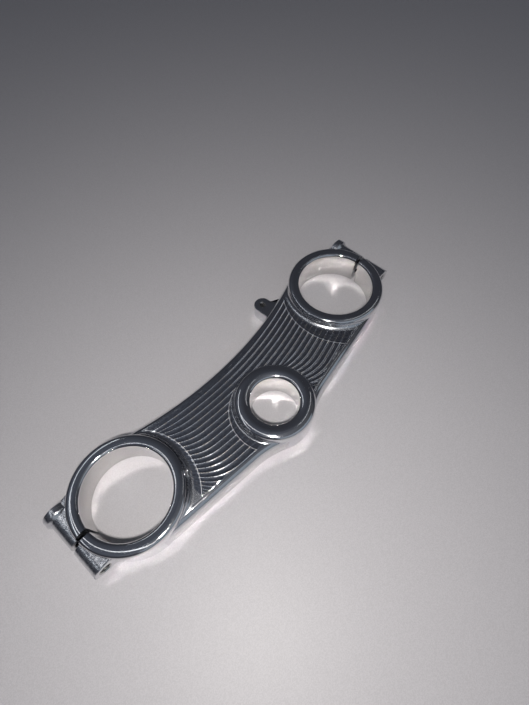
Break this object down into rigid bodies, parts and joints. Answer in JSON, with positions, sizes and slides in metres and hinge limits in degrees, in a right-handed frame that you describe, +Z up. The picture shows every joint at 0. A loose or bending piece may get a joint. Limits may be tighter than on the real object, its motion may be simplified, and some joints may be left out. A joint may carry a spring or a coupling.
{
  "type": "motorcycle triple clamp",
  "caption": "Upper fork yoke machined from one billet: a waisted plate with a scalloped floor joins two split fork clamp rings and a steering stem ring, with a small front lug.",
  "frame": {"origin": "on the stem bore axis at the flat underside", "axes": "+X to the right fork bore, +Y to the front with the lug, +Z up through the rims"},
  "size_m": [0.287, 0.0933, 0.023],
  "materials": {
    "billet": "polished, with bright tool marks in curved rows"
  },
  "bodies": {
    "root": {"triple_clamp": "billet"}
  },
  "joints": []
}
